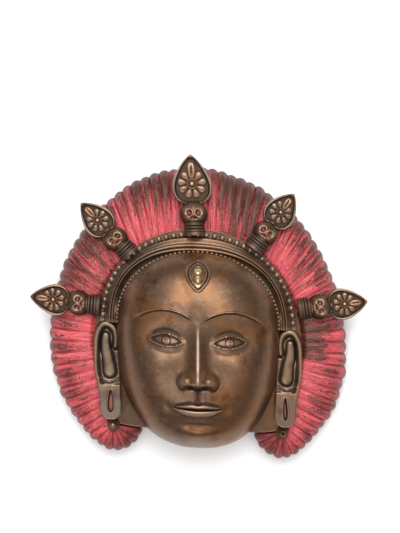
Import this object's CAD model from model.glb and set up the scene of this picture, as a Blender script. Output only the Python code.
"""Bronze ritual mask: the fine surface of the casting, its worn paint and the studio it lies in.

The face, the fan of hair, the beaded band, the crown of skulls and leaves, and the ears are drawn
about the middle of the forehead line, as in the solid model. Then they are leaned and moved to the
place of the solid that they stand for. Metres, +Z out of the face, +Y to the crown.
"""

import math
from types import SimpleNamespace

import bmesh
import bpy
import numpy as np
from bpy.props import FloatProperty, FloatVectorProperty, IntProperty, PointerProperty
from bpy.types import Operator, Panel, PropertyGroup
from mathutils import Matrix, Vector, noise


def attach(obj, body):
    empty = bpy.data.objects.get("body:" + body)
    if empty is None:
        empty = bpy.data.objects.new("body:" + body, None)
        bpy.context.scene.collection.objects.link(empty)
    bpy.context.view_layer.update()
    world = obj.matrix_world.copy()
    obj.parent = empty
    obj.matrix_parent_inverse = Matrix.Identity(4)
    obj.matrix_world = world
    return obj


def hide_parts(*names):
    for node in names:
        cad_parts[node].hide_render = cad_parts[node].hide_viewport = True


bl_info = {
    "name": "Bronze ritual mask",
    "version": (1, 0, 0),
    "blender": (4, 5, 0),
    "location": "3D View > Sidebar > Mask",
    "description": "Builds a hollow cast mask with a pleated fan of hair, and its studio",
    "category": "Add Mesh",
}

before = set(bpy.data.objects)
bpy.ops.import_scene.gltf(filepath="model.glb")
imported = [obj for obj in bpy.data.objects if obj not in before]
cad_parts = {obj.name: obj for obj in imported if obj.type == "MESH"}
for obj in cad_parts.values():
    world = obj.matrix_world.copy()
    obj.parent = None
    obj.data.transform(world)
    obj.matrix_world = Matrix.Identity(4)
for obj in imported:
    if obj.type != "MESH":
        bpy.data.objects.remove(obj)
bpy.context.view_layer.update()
BODY = "root"
NODE = "mask"

# The casting as a whole
WALL = 0.004
HAND_LEAN = 0.048
MIDDLE = Vector((-0.000777, 0.003560, 0.0))
TUCK = 0.0003

# Canon of the face: three equal heights, and five eyes to the width
HAIRLINE_Y = 0.049
FACE_THIRD = 0.0612
EYE_LENGTH = 0.0288
BROW_Y = HAIRLINE_Y - FACE_THIRD
NOSE_BASE_Y = BROW_Y - FACE_THIRD
CHIN_Y = NOSE_BASE_Y - FACE_THIRD
EYE_Y = BROW_Y - FACE_THIRD / 3
MOUTH_Y = NOSE_BASE_Y - FACE_THIRD / 3
THIRD_EYE_Y = HAIRLINE_Y - 0.0215
THIRD_EYE_RISE = 0.0147
THIRD_EYE_HALF_WIDTH = 0.0106
THIRD_EYE_BALL_UP = 0.27
THIRD_EYE_BALL = 0.0034
THIRD_EYE_DROP_UP = -0.34
FACE_SQUARENESS = 2.4
FOREHEAD_ROUNDNESS = 2.3
JAW_ROUNDNESS = 3.3

# Fan of hair, by pleats counted from the crown
PLEATS_CROWN = 23
PLEATS_SIDE = 10
PLEATS_CURL = 6
PLEATS_SIDE_END = PLEATS_CROWN + PLEATS_SIDE
PLEATS_HALF = PLEATS_SIDE_END + PLEATS_CURL
CURL_CENTRE = Vector((0.0800, -0.1175))
CURL_FROM = math.radians(-45)
CURL_TO = math.radians(-173)
WANDER_END = PLEATS_HALF - 0.6
HAIR_START = -0.16

# Neck plate: half width, reach up, reach down and squareness of its outline, and its heights
NECK_OUTLINE = (0.104, 0.112, 0.0744, 5.0)
NECK_MIDDLE_Y = -0.045
NECK_Z = 0.025
NECK_UNDER_Z = NECK_Z - WALL - TUCK
SUNK_Z = NECK_Z - 0.002
JAW_ON_FLOOR_Y = -0.112

# Rows of the band: half width, rise and squareness of each
BAND_MIDDLE_Y = -0.018
BEAD_ROW = (0.0895, 0.0840, 2.1)
RIDGE_ROW = (0.0815, 0.0716, 2.3)
FINE_ROW = (0.0760, 0.0675, 2.0)
BAND_END = math.radians(91)
BEAD_END = math.radians(87)

# Crown ornaments: place on the bead row and direction in degrees, distance outwards, and if tall
ORNAMENTS = {
    "centre": (-1.5, -3.5, 0.002, True),
    "upper_left": (-43.6, -45.3, 0.003, False),
    "upper_right": (33.4, 35.4, 0.005, False),
    "left": (-82.3, -85.2, 0.0065, False),
    "right": (78.9, 81.1, 0.0095, False),
}
PETALS = 9

# Mesh cells of the sheets, across and along, and where a mesh is merged and sharp
FACE_INSIDE_CELLS = (54, 64)
HAIR_INSIDE_CELLS = (180, 14)
NECK_CELLS = 300
BAND_CELLS = (300, 80)
LEAF_CELLS = (56, 84)
EAR_CELLS = (76, 220)
SKULL_CELLS = (72, 54)
MERGE_DISTANCE = 0.000002
SHARP_ANGLE = math.radians(62)


def length(name, default, description):
    return FloatProperty(
        name=name, description=description, default=default, min=0.0, unit="LENGTH", precision=4
    )


def level(name, default, description):
    """A height or a place, which may lie below the middle."""
    return FloatProperty(
        name=name, description=description, default=default, unit="LENGTH", precision=4
    )


def count(name, default, description):
    return IntProperty(name=name, description=description, default=default, min=1)


def colour(name, default, description):
    return FloatVectorProperty(
        name=name, description=description, default=default, size=3, min=0.0, max=1.0,
        subtype="COLOR",
    )


class FaceSizes(PropertyGroup):
    """Sizes of the face, an egg that is widest at the temples."""

    half_width: length("Half width", 0.0775, "From the middle to a temple")
    widest: level("Widest line", -0.020, "Height of the widest line on the face")
    up: length("Rise", 0.075, "From the widest line to the top of the forehead")
    down: length("Fall", 0.1155, "From the widest line to the chin")
    edge: length("Edge height", 0.026, "Height of the face's edge above the back rim")
    front: length("Front height", 0.080, "Height of the bare head above the back rim")
    columns: count("Columns", 270, "Cells across the face")
    rows: count("Rows", 326, "Cells down the face")
    fine_beads: count("Fine beads", 57, "Small beads along the top of the forehead")
    fine_bead: length("Fine bead radius", 0.0015, "Radius of each small bead")


class HairSizes(PropertyGroup):
    """Sizes of the pleated fan."""

    middle: level("Middle", -0.040, "Height of the fan's widest line")
    half_width: length("Half width", 0.140, "From the middle to the side of the fan")
    rise: length("Rise", 0.169, "From the widest line to the top of the fan")
    root_half_width: length("Root half width", 0.1025, "From the middle to the pleats' start")
    root_rise: length("Root rise", 0.1095, "From the widest line to the pleats' start on top")
    root_height: length("Root height", 0.034, "Height of the pleats at their start")
    rim_height: length("Rim height", 0.008, "Height of the fan's outer edge")
    curl_drop: length("Curl drop", 0.007, "How much lower the curls lie than the crown")
    curl_radius: length("Curl radius", 0.0245, "Outer radius of the curl beside the jaw")
    curl_root_radius: length("Curl root radius", 0.0052, "Radius where the curl's pleats start")
    relief: length("Pleat relief", 0.0032, "Height of a pleat over its valleys")
    strand: length("Strand relief", 0.00016, "Depth of the fine lines along a pleat")
    cells: count("Cells per pleat", 14, "Mesh cells across one pleat")
    rows: count("Rows", 50, "Mesh cells along a pleat")


class BandSizes(PropertyGroup):
    """Sizes of the band and its beads."""

    beads: count("Beads", 39, "Beads along the outer edge of the band")
    bead_radius: length("Bead radius", 0.0027, "Radius of each bead")
    bead_height: length("Bead height", 0.0438, "Height of the beads' middles at the crown")
    side_drop: length("Side drop", 0.008, "How much lower the band's ends lie than its top")


class CrownSizes(PropertyGroup):
    """Sizes of the five skulls and their leaves."""

    height: length("Height", 0.0425, "Height of the ornaments' middle line at the crown")
    collar_radius: length("Collar radius", 0.0105, "Radius of the ringed collar")
    collar_length: length("Collar length", 0.0085, "Length of the ringed collar")
    skull_out: length("Skull distance", 0.0165, "From the bead row to the skull's middle")
    skull_radius: length("Skull radius", 0.0118, "Radius of four of the skulls")
    tall_skull_radius: length("Tall skull radius", 0.0130, "Radius of the middle skull")
    leaf_start: length("Leaf start", 0.0255, "From the bead row to the foot of the leaf")
    leaf_length: length("Leaf length", 0.0375, "Length of four of the leaves")
    leaf_width: length("Leaf width", 0.0300, "Width of four of the leaves")
    tall_leaf_length: length("Tall leaf length", 0.0470, "Length of the middle leaf")
    tall_leaf_width: length("Tall leaf width", 0.0375, "Width of the middle leaf")
    leaf_thickness: length("Leaf thickness", 0.0042, "Thickness of every leaf")
    leaf_rim: length("Leaf rim", 0.0029, "Width of the raised rim")
    leaf_recess: length("Leaf recess", 0.0021, "Depth of the ground inside the rim")


class EarSizes(PropertyGroup):
    """Sizes of the ears, their slotted lobes and the bosses below them."""

    height: length("Ear height", 0.036, "Height of the ear's plate above the back rim")
    half_width: length("Ear half width", 0.0118, "Half the width of the ear")
    lobe_half_width: length("Lobe half width", 0.0103, "Half the width of the lobe")
    lobe_height: length("Lobe height", 0.0385, "Height of the lobe above the back rim")
    helix: length("Rim roll", 0.0030, "Half the width of the ear's rolled rim")
    slot_length: length("Slot length", 0.0215, "Length of the slot in the lobe")
    slot_width: length("Slot width", 0.0048, "Width of the slot in the lobe")
    slot_depth: length("Slot depth", 0.0045, "Depth of the slot in the lobe")
    boss_radius: length("Boss radius", 0.0052, "Radius of the boss in the middle of each curl")
    boss_height: length("Boss height", 0.0362, "Height of the boss above the back rim")


class Finishes(PropertyGroup):
    """Colours of the bronze, the paint and the studio."""

    bronze: colour("Bronze", (0.138, 0.075, 0.043), "The patina over most of the face")
    bronze_warm: colour("Warm bronze", (0.205, 0.090, 0.034), "Orange parts of the patina")
    bronze_dark: colour("Dark bronze", (0.018, 0.010, 0.006), "Patina in the hollows")
    bronze_rubbed: colour("Rubbed bronze", (0.430, 0.320, 0.240), "High places rubbed bright")
    grey_metal: colour("Grey metal", (0.165, 0.128, 0.102), "Bare metal of the worn lobe")
    gilt: colour("Gilt", (0.600, 0.420, 0.230), "Bright yellow metal on the small balls")
    bare_hair: colour("Bare hair", (0.046, 0.024, 0.014), "Dull bronze where the paint is gone")
    paint: colour("Paint", (0.680, 0.064, 0.078), "Pinkish red paint on the pleats")
    paint_deep: colour("Deep paint", (0.150, 0.013, 0.018), "Paint in the valleys and curls")
    paint_pale: colour("Pale paint", (0.860, 0.178, 0.195), "Chalky paint on the crests")
    floor: colour("Floor", (0.98, 0.98, 0.98), "The pale floor")


class StudioSizes(PropertyGroup):
    """Places of the camera and the lights."""

    camera_height: length("Camera height", 1.200, "Height of the camera above the floor")
    camera_up: level("Camera place", 0.0395, "How far the camera stands towards the crown")
    lens: FloatProperty(
        name="Lens", description="Focal length", default=83.7, min=1.0, unit="CAMERA"
    )
    light_power: FloatProperty(
        name="Light power", description="Power that each soft light takes a share of",
        default=15.0, min=0.0, subtype="POWER",
    )


# Numbers, lines and surfaces that follow a rule

def values(group):
    """The sizes of a group as plain numbers, which are quick to read."""
    return SimpleNamespace(**{key: getattr(group, key) for key in group.__annotations__})


def palette(context):
    """The colours as tuples, which the shader nodes take."""
    tones = vars(values(context.scene.mask_finishes))
    return SimpleNamespace(**{key: tuple(tone) for key, tone in tones.items()})


def mix(low, high, amount):
    return low + (high - low) * amount


def smoothstep(low, high, value):
    amount = np.clip((value - low) / (high - low), 0.0, 1.0)
    return amount * amount * (3 - 2 * amount)


def falling(low, high, value):
    return 1 - smoothstep(low, high, value)


def swelling(x, y, middle, wide, tall, height):
    """A soft round swelling, or a hollow where its height is negative."""
    return height * np.exp(-(((x - middle[0]) / wide) ** 2) - ((y - middle[1]) / tall) ** 2)


def ridge(distance, half, height):
    """A soft ridge along a line, by the distance from it."""
    return height * np.exp(-((distance / half) ** 2))


def bowl(distance, half, height):
    """A plateau with steep sides, or a bowl where its height is negative."""
    return height * np.exp(-((distance / half) ** 4))


def roll(distance, half, height):
    """A round roll along a line."""
    return height * np.sqrt(np.clip(1 - (distance / half) ** 2, 0.0, None))


def superellipse(angle, half_width, rise, squareness):
    """Points of a rounded arch, by their angle from straight up."""
    across, up = np.sin(angle), np.cos(angle)
    return (
        np.sign(across) * half_width * np.abs(across) ** (2 / squareness),
        np.sign(up) * rise * np.abs(up) ** (2 / squareness),
    )


def disc(a, b):
    """Takes a square to a disc: how far out each point lies, and its angle from straight up."""
    x, y = a * np.sqrt(1 - b * b / 2), b * np.sqrt(1 - a * a / 2)
    return np.minimum(1.0, np.hypot(x, y)), np.arctan2(x, y)


def smooth_path(points, steps):
    """A curve through a few points, with steps places between each two."""
    points = [Vector(point) for point in points]
    path = []
    for i in range(len(points) - 1):
        a, b = points[max(0, i - 1)], points[i]
        c, d = points[i + 1], points[min(len(points) - 1, i + 2)]
        for k in range(steps):
            t = k / steps
            path.append(
                0.5 * (2 * b + (c - a) * t + (2 * a - 5 * b + 4 * c - d) * t**2
                       + (3 * b - a - 3 * c + d) * t**3)
            )
    path.append(points[-1].copy())
    return path


def line_distance(x, y, path):
    """How far each place is from a bent line, and the share along it of the nearest point."""
    nearest = np.full(np.shape(x), np.inf)
    along = np.zeros(np.shape(x))
    last = len(path) - 1
    for index in range(last):
        start, step = path[index], path[index + 1] - path[index]
        t = ((x - start.x) * step.x + (y - start.y) * step.y) / step.length_squared
        t = np.clip(t, 0.0, 1.0)
        away = np.hypot(x - start.x - t * step.x, y - start.y - t * step.y)
        closer = away < nearest
        nearest = np.where(closer, away, nearest)
        along = np.where(closer, (index + t) / last, along)
    return nearest, along


def uneven(seed, x, y, z):
    """Smooth unevenness from -1 to 1 at each place, the same on each run."""
    offset = Vector((seed * 7.31, seed * 3.77, seed * 5.13))
    spots = np.stack(np.broadcast_arrays(x, y, z), axis=1)
    return np.array([noise.noise(Vector(spot) + offset) for spot in spots])


# Meshes

MARKS = ("paint", "bare", "warm", "gold", "dull", "across", "along", "wear")


def new_form():
    """An empty form, with a number on each point for each kind of finish."""
    bm = bmesh.new()
    for name in MARKS:
        bm.verts.layers.float.new(name)
    return bm


def set_mark(bm, verts, name, amounts):
    layer = bm.verts.layers.float[name]
    for vert, amount in zip(verts, np.broadcast_to(amounts, len(verts))):
        vert[layer] = float(amount)


def add_sheet(bm, columns, rows, place):
    """A sheet placed by a rule, which takes its two positions from -1 to 1."""
    verts = bmesh.ops.create_grid(bm, x_segments=columns, y_segments=rows, size=1.0)["verts"]
    a = np.array([vert.co.x for vert in verts])
    b = np.array([vert.co.y for vert in verts])
    spots = np.stack(place(a, b), axis=1)
    for vert, spot in zip(verts, spots):
        vert.co = spot
    set_mark(bm, verts, "across", a)
    set_mark(bm, verts, "along", b)
    return verts


def edge_of(verts):
    """The open edge of the sheet that holds these points."""
    return list({edge for vert in verts for edge in vert.link_edges if edge.is_boundary})


def drop_edge(bm, edges, low):
    """Takes a sheet's open edge down to the height that low gives for each place."""
    made = bmesh.ops.extrude_edge_only(bm, edges=edges)["geom"]
    verts = [item for item in made if isinstance(item, bmesh.types.BMVert)]
    for vert in verts:
        vert.co.z = min(vert.co.z - TUCK, low(vert))
    return [item for item in made if isinstance(item, bmesh.types.BMEdge) and item.is_boundary]


def closed_relief(bm, columns, rows, place, low):
    """A sheet with a wall round its edge and a flat underside."""
    verts = add_sheet(bm, columns, rows, place)
    rim = drop_edge(bm, edge_of(verts), lambda vert: low)
    bmesh.ops.holes_fill(bm, edges=rim)
    return verts


def hollow_relief(bm, outer, inner, low):
    """A shell of an outer and an inner sheet that meet on a rim. Each is columns, rows, place."""
    rims = []
    for columns, rows, place in (outer, inner):
        verts = add_sheet(bm, columns, rows, place)
        rims += drop_edge(bm, edge_of(verts), low)
    bmesh.ops.bridge_loops(bm, edges=rims)


def egg_place(height, sizes, inset=0.0):
    """Takes a square sheet to the egg of the face, closer together towards its edge."""
    def place(a, b):
        reach, angle = disc(a, b)
        spread = 1 + 0.10 * (1 - reach * reach)
        tall = np.where(b > 0, sizes.up, sizes.down) - inset
        half_width = sizes.half_width - inset
        x, y = superellipse(angle, half_width, tall, FACE_SQUARENESS)
        x, y = x * reach * spread, y * reach * spread + sizes.widest
        return x, y, height(x, y)
    return place


def turned(bm, profile, matrix, steps):
    """A closed turned form around its own Z axis, from a profile of radius and height."""
    verts = [bm.verts.new((radius, 0, height)) for radius, height in profile]
    edges = [bm.edges.new(pair) for pair in zip(verts, verts[1:])]
    made = bmesh.ops.spin(
        bm, geom=verts + edges, cent=(0, 0, 0), axis=(0, 0, 1), angle=2 * math.pi,
        steps=steps, use_merge=True,
    )["geom_last"]
    found = {vert for vert in verts if vert.is_valid}
    found |= {item for item in made if isinstance(item, bmesh.types.BMVert) and item.is_valid}
    grown = list(found)
    while grown:
        vert = grown.pop()
        for edge in vert.link_edges:
            other = edge.other_vert(vert)
            if other not in found:
                found.add(other)
                grown.append(other)
    bmesh.ops.transform(bm, matrix=matrix, verts=list(found))
    return list(found)


def ball(bm, matrix, around, down):
    """A ball of radius 1, or what the matrix makes of it."""
    return bmesh.ops.create_uvsphere(
        bm, u_segments=around, v_segments=down, radius=1.0, matrix=matrix
    )["verts"]


def sized(spot, wide, tall, deep):
    return Matrix.Translation(spot) @ Matrix.Diagonal((wide, tall, deep, 1.0))


# Finished pieces

def mesh_numbers(mesh):
    """Places, normals and the ends of the edges of a mesh."""
    places = np.empty(len(mesh.vertices) * 3)
    mesh.vertices.foreach_get("co", places)
    normals = np.empty(len(mesh.vertices) * 3, dtype=np.float32)
    mesh.vertex_normals.foreach_get("vector", normals)
    ends = np.empty(len(mesh.edges) * 2, dtype=np.int32)
    mesh.edges.foreach_get("vertices", ends)
    return places.reshape(-1, 3), normals.reshape(-1, 3), ends[0::2], ends[1::2]


def mark_hollows(mesh, depth, rounds):
    """Writes how far each point lies below (+) or above (-) the smoothed surface, -1 to 1."""
    places, normals, first, second = mesh_numbers(mesh)
    total = len(places)
    joined = np.bincount(first, minlength=total) + np.bincount(second, minlength=total)

    def neighbours(column):
        gathered = np.bincount(first, weights=column[second], minlength=total)
        gathered += np.bincount(second, weights=column[first], minlength=total)
        return gathered / np.maximum(joined, 1)

    smooth = [places[:, axis].copy() for axis in range(3)]
    for _ in range(rounds):
        smooth = [0.4 * column + 0.6 * neighbours(column) for column in smooth]
    away = np.stack(smooth, axis=1) - places
    below = np.clip((away * normals).sum(axis=1) / depth, -1.0, 1.0)
    below = 0.5 * below + 0.5 * neighbours(below)
    layer = mesh.attributes.new("hollow", "FLOAT", "POINT")
    layer.data.foreach_set("value", below.astype(np.float32))


def new_object(context, name, data):
    thing = bpy.data.objects.new(name, data)
    context.scene.collection.objects.link(thing)
    return thing


def finish_piece(context, name, bm, material, depth, rounds):
    """Leans the form, puts it in its place and hands it over as a piece of the mask."""
    bmesh.ops.remove_doubles(bm, verts=bm.verts, dist=MERGE_DISTANCE)
    bmesh.ops.dissolve_degenerate(bm, edges=bm.edges, dist=MERGE_DISTANCE / 2)
    bmesh.ops.recalc_face_normals(bm, faces=bm.faces)
    lean = Matrix.Identity(4)
    lean[1][0] = -HAND_LEAN
    bmesh.ops.transform(bm, matrix=Matrix.Translation(MIDDLE) @ lean, verts=bm.verts)
    mesh = bpy.data.meshes.new(name)
    bm.to_mesh(mesh)
    bm.free()
    mesh.shade_smooth()
    mesh.set_sharp_from_angle(angle=SHARP_ANGLE)
    mark_hollows(mesh, depth, rounds)
    mesh.materials.append(material)
    piece = new_object(context, name, mesh)
    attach(piece, BODY)
    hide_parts(NODE)


# Face

def face_dome(sizes, x, y, inset=0.0):
    """The bare head: round at the forehead, fuller at the jaw."""
    tall = np.where(y > sizes.widest, sizes.up, sizes.down) - inset
    across = np.abs(x / (sizes.half_width - inset)) ** FACE_SQUARENESS
    along = np.abs((y - sizes.widest) / tall) ** FACE_SQUARENESS
    reach = np.minimum(1.0, (across + along) ** (1 / FACE_SQUARENESS))
    roundness = mix(FOREHEAD_ROUNDNESS, JAW_ROUNDNESS, smoothstep(HAIRLINE_Y, NOSE_BASE_Y, y))
    return sizes.edge + (sizes.front - sizes.edge) * np.sqrt(1 - reach**roundness)


def nose(x, y):
    """A straight bridge with a crisp ridge, a round tip, and a wing on each side."""
    root_y = BROW_Y - 0.12 * FACE_THIRD
    down = (root_y - y) / (root_y - NOSE_BASE_Y)
    run = np.clip(down, 0.0, 1.0)
    side = np.abs(x)
    height = mix(0.0022, 0.0146, run**1.25) * smoothstep(-0.35, 0.25, down)
    height *= falling(0.93, 1.06, down)
    shape = height * np.exp(-((side / mix(0.0062, 0.0096, run)) ** 1.8))
    window = smoothstep(-0.15, 0.12, down) * falling(0.86, 0.98, down)
    shape += ridge(x, 0.0028, 0.0003) * window
    shape += swelling(x, y, (0, NOSE_BASE_Y + 0.0070), 0.0084, 0.0068, 0.0030)
    shape += swelling(side, y, (0.0122, NOSE_BASE_Y + 0.0058), 0.0052, 0.0058, 0.0064)
    from_wing = np.hypot(side - 0.0112, (y - NOSE_BASE_Y - 0.0052) * 0.9)
    crease = smoothstep(0.0100, 0.0150, side) * falling(0.0, 0.011, y - NOSE_BASE_Y)
    shape -= ridge(from_wing - 0.0082, 0.0016, 0.0007) * crease
    return shape + swelling(side, y, (0.0060, NOSE_BASE_Y - 0.0004), 0.0026, 0.0018, -0.0044)


def eyes(x, y):
    """Sockets, eyeballs, lids that open on an almond, and a ringed iris."""
    side = np.abs(x) - EYE_LENGTH
    along = side / (EYE_LENGTH / 2)
    level = EYE_Y + 0.0010 * along
    shape = swelling(side, y, (0.0, EYE_Y + 0.0035), 0.0180, 0.0112, -0.0060)
    room = 1 - (along / 1.40) ** 2 - ((y - level) / 0.0122) ** 2
    shape += 0.0060 * np.clip(room, 0.0, None) ** 2.2
    opening = np.clip(1 - along * along, 0.0, None)
    upper = level + 0.0054 * opening**0.8
    lower = level - 0.0040 * opening
    inside = smoothstep(-0.0003, 0.0005, upper - y) * smoothstep(-0.0003, 0.0005, y - lower)
    inside *= (opening > 0)
    shape -= 0.0017 * inside
    window = falling(0.95, 1.30, np.abs(along))
    shape += ridge(y - upper - 0.0009, 0.0008, 0.0010) * window
    shape += ridge(y - lower + 0.0009, 0.0008, 0.0008) * window
    fold = level + 0.0098 * np.clip(1 - (along / 1.25) ** 2, 0.0, None) ** 0.8
    shape -= ridge(y - fold, 0.0010, 0.0005) * falling(0.7, 1.15, np.abs(along))
    away = np.hypot(side, y - level - 0.0003)
    iris = 0.0005 * falling(0.0037, 0.0043, away) + ridge(away - 0.0026, 0.0005, 0.0004)
    return shape + inside * (iris + roll(away, 0.0016, 0.0009))


def brows(x, y):
    """A crisp line that arches over each eye, with a soft shelf above it."""
    side = np.abs(x)
    arch = BROW_Y + 0.0078 - 0.0105 * ((side - 0.031) / EYE_LENGTH) ** 2
    above = y - arch
    window = smoothstep(0.003, 0.010, side) * falling(0.052, 0.061, side)
    line = ridge(above, 0.0009, 0.0012)
    shelf = 0.0015 * smoothstep(-0.0014, 0.0008, above)
    shelf *= np.exp(-np.clip(above, 0.0, None) / 0.012)
    return window * (line + shelf)


def mouth(x, y):
    """Closed lips on a full muzzle, with the channel above and the hollow below them."""
    along = np.abs(x) / 0.0240
    shape = swelling(x, y, (0, MOUTH_Y + 0.002), 0.0280, 0.0190, 0.0050)
    lip_top = MOUTH_Y + 0.0066
    channel = smoothstep(lip_top - 0.001, lip_top + 0.002, y)
    channel *= falling(NOSE_BASE_Y - 0.0050, NOSE_BASE_Y - 0.0015, y)
    shape += channel * (ridge(x, 0.0026, -0.0011) + ridge(np.abs(x) - 0.0048, 0.0018, 0.0003))
    shape += swelling(x, y, (0, MOUTH_Y - 0.0155), 0.0170, 0.0048, -0.0030)
    shape += swelling(np.abs(x), y, (0.0264, MOUTH_Y + 0.0008), 0.0046, 0.0044, -0.0012)
    inside = along < 1
    narrow = np.clip(1 - along * along, 0.0, None)
    line = MOUTH_Y + 0.0014 * along * along
    notch = 1 - 0.24 * np.exp(-((along / 0.15) ** 2))
    top = line + 0.0068 * np.clip(1 - along**1.6, 0.0, None) * notch
    bottom = line - 0.0080 * narrow
    upper = np.clip((y - line) / np.maximum(top - line, 1e-6), 0.0, 1.0)
    under = np.clip((line - y) / np.maximum(line - bottom, 1e-6), 0.0, 1.0)
    shape += inside * 0.0046 * narrow**0.6 * np.sin(math.pi * upper**0.8) ** 0.8 * (y > line)
    shape += inside * 0.0056 * narrow**0.6 * np.sin(math.pi * under**0.8) ** 0.8 * (y < line)
    lips = inside * narrow**0.3
    shape += lips * (ridge(y - top, 0.0007, 0.0006) + ridge(y - bottom, 0.0007, 0.0005))
    return shape - inside * ridge(y - line, 0.0006, 0.0010) * narrow**0.3


def third_eye_half_width(up):
    """Half the width of the upright eye, drawn to a point above and below."""
    up = np.clip(up, -1.0, 1.0)
    return THIRD_EYE_HALF_WIDTH * (1 - up * up) ** 0.85 * (1 + 0.22 * up)


def forehead_eye(x, y):
    """The upright third eye: two raised lines in the form of a drop, a ringed ball, and a drop."""
    up = (y - THIRD_EYE_Y) / THIRD_EYE_RISE
    step = 0.02
    slope = (third_eye_half_width(up + step) - third_eye_half_width(up - step)) / 2
    slope = slope / (step * THIRD_EYE_RISE)
    inside = (third_eye_half_width(up) - np.abs(x)) / np.sqrt(1 + slope * slope)
    near = falling(1.00, 1.06, np.abs(up))
    shape = near * (ridge(inside - 0.0004, 0.0008, 0.0013) + ridge(inside - 0.0031, 0.0007, 0.0010))
    shape -= near * ridge(inside - 0.0018, 0.0005, 0.0004)
    ball_y = THIRD_EYE_Y + THIRD_EYE_BALL_UP * THIRD_EYE_RISE
    away = np.hypot(x, y - ball_y)
    shape += ridge(away - 0.0046, 0.0006, 0.0008) * smoothstep(0.0, 0.0015, inside)
    shape += roll(away, THIRD_EYE_BALL, 0.0024)
    drop_y = THIRD_EYE_Y + THIRD_EYE_DROP_UP * THIRD_EYE_RISE
    wide = mix(0.0006, 0.0030, np.clip((y - drop_y) / 0.0048 / 2 + 0.5, 0.0, 1.0))
    return shape + 0.0020 * np.exp(-((x / wide) ** 2) - (((y - drop_y) / 0.0044) ** 4))


def row_point(angle, row):
    """Points of a row round the forehead, by their angle from the crown."""
    x, y = superellipse(angle, *row)
    return x, y + BAND_MIDDLE_Y


def fine_row_distance(x, y):
    """How far a place on the forehead lies outside the row of fine beads."""
    half_width, rise, squareness = FINE_ROW
    reach = (np.abs(x / half_width) ** squareness
             + np.abs((y - BAND_MIDDLE_Y) / rise) ** squareness) ** (1 / squareness)
    return (reach - 1) * (half_width + rise) / 2


def face_height(sizes, x, y):
    side = np.abs(x)
    height = face_dome(sizes, x, y)
    height += swelling(x, y, (0, BROW_Y + 0.55 * FACE_THIRD), 0.042, 0.030, 0.0022)
    height += swelling(side, y, (0.040, NOSE_BASE_Y + 0.012), 0.021, 0.021, 0.0048)
    height += swelling(x, y, (0, CHIN_Y + 0.0150), 0.0175, 0.0110, 0.0060)
    height += nose(x, y) + eyes(x, y) + brows(x, y) + mouth(x, y) + forehead_eye(x, y)
    from_row = fine_row_distance(x, y)
    upper = smoothstep(BAND_MIDDLE_Y - 0.004, BAND_MIDDLE_Y + 0.002, y)
    height += upper * (ridge(from_row, 0.0020, 0.0005) + ridge(from_row + 0.0026, 0.0007, -0.0002))
    return height


def face_inside(sizes, x, y):
    """The inside of the face, which follows only its main forms."""
    deeper = 0.65 * nose(x * 1.35, y) + 0.5 * mouth(x, y)
    return face_dome(sizes, x, y, WALL) + np.maximum(0.0, deeper) - WALL


def jaw_rim(vert):
    """The jaw reaches the floor, and the rest of the face ends in the neck's plate."""
    return 0.0 if vert.co.y < JAW_ON_FLOOR_Y else NECK_UNDER_Z


class MASK_OT_face(Operator):
    """Makes the face, with its open back and the row of fine beads on the forehead"""

    bl_idname = "mask.face"
    bl_label = "Face"

    def execute(self, context):
        sizes = values(context.scene.mask_face)
        bm = new_form()
        outer = (sizes.columns, sizes.rows, egg_place(lambda x, y: face_height(sizes, x, y), sizes))
        inner = (*FACE_INSIDE_CELLS, egg_place(lambda x, y: face_inside(sizes, x, y), sizes, WALL))
        hollow_relief(bm, outer, inner, jaw_rim)
        third_eye = [v for v in bm.verts if v.co.z > 0.060 and abs(v.co.x) < 0.006
                     and abs(v.co.y - THIRD_EYE_Y) < THIRD_EYE_RISE]
        x = np.array([v.co.x for v in third_eye])
        up = np.array([v.co.y - THIRD_EYE_Y for v in third_eye]) / THIRD_EYE_RISE
        on_ball = np.hypot(x / THIRD_EYE_BALL, (up - THIRD_EYE_BALL_UP) / 0.23)
        on_drop = np.hypot(x / 0.0026, (up - THIRD_EYE_DROP_UP) / 0.36)
        set_mark(bm, third_eye, "gold", falling(0.85, 1.25, np.minimum(on_ball, on_drop)))
        finish_piece(context, "face", bm, bronze_material(context, "face bronze"), 0.00045, 10)

        bm = new_form()
        radius = sizes.fine_bead
        for index in range(sizes.fine_beads):
            angle = mix(-BAND_END, BAND_END, index / (sizes.fine_beads - 1))
            x, y = row_point(angle, FINE_ROW)
            spot = Vector((x, y, float(face_height(sizes, x, y)) + 0.0005))
            ball(bm, sized(spot, radius, radius, radius), 10, 6)
        set_mark(bm, list(bm.verts), "bare", 0.25)
        finish_piece(context, "fine_beads", bm, bronze_material(context, "face bronze"), 0.0003, 2)
        return {"FINISHED"}


# Hair

def curl_point(pleat, radius):
    turn = mix(CURL_FROM, CURL_TO, (pleat - PLEATS_SIDE_END) / PLEATS_CURL)
    return CURL_CENTRE.x + radius * np.cos(turn), CURL_CENTRE.y + radius * np.sin(turn)


def side_curve(amount, start, radius, pulls):
    """A smooth run down the side of the head, from the crown's arch to the curl."""
    end = CURL_CENTRE + radius * Vector((math.cos(CURL_FROM), math.sin(CURL_FROM)))
    points = (start, start + pulls[0], end + pulls[1], end)
    rest = 1 - amount
    weights = (rest**3, 3 * rest**2 * amount, 3 * rest * amount**2, amount**3)
    return tuple(sum(w * point[axis] for w, point in zip(weights, points)) for axis in (0, 1))


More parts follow.
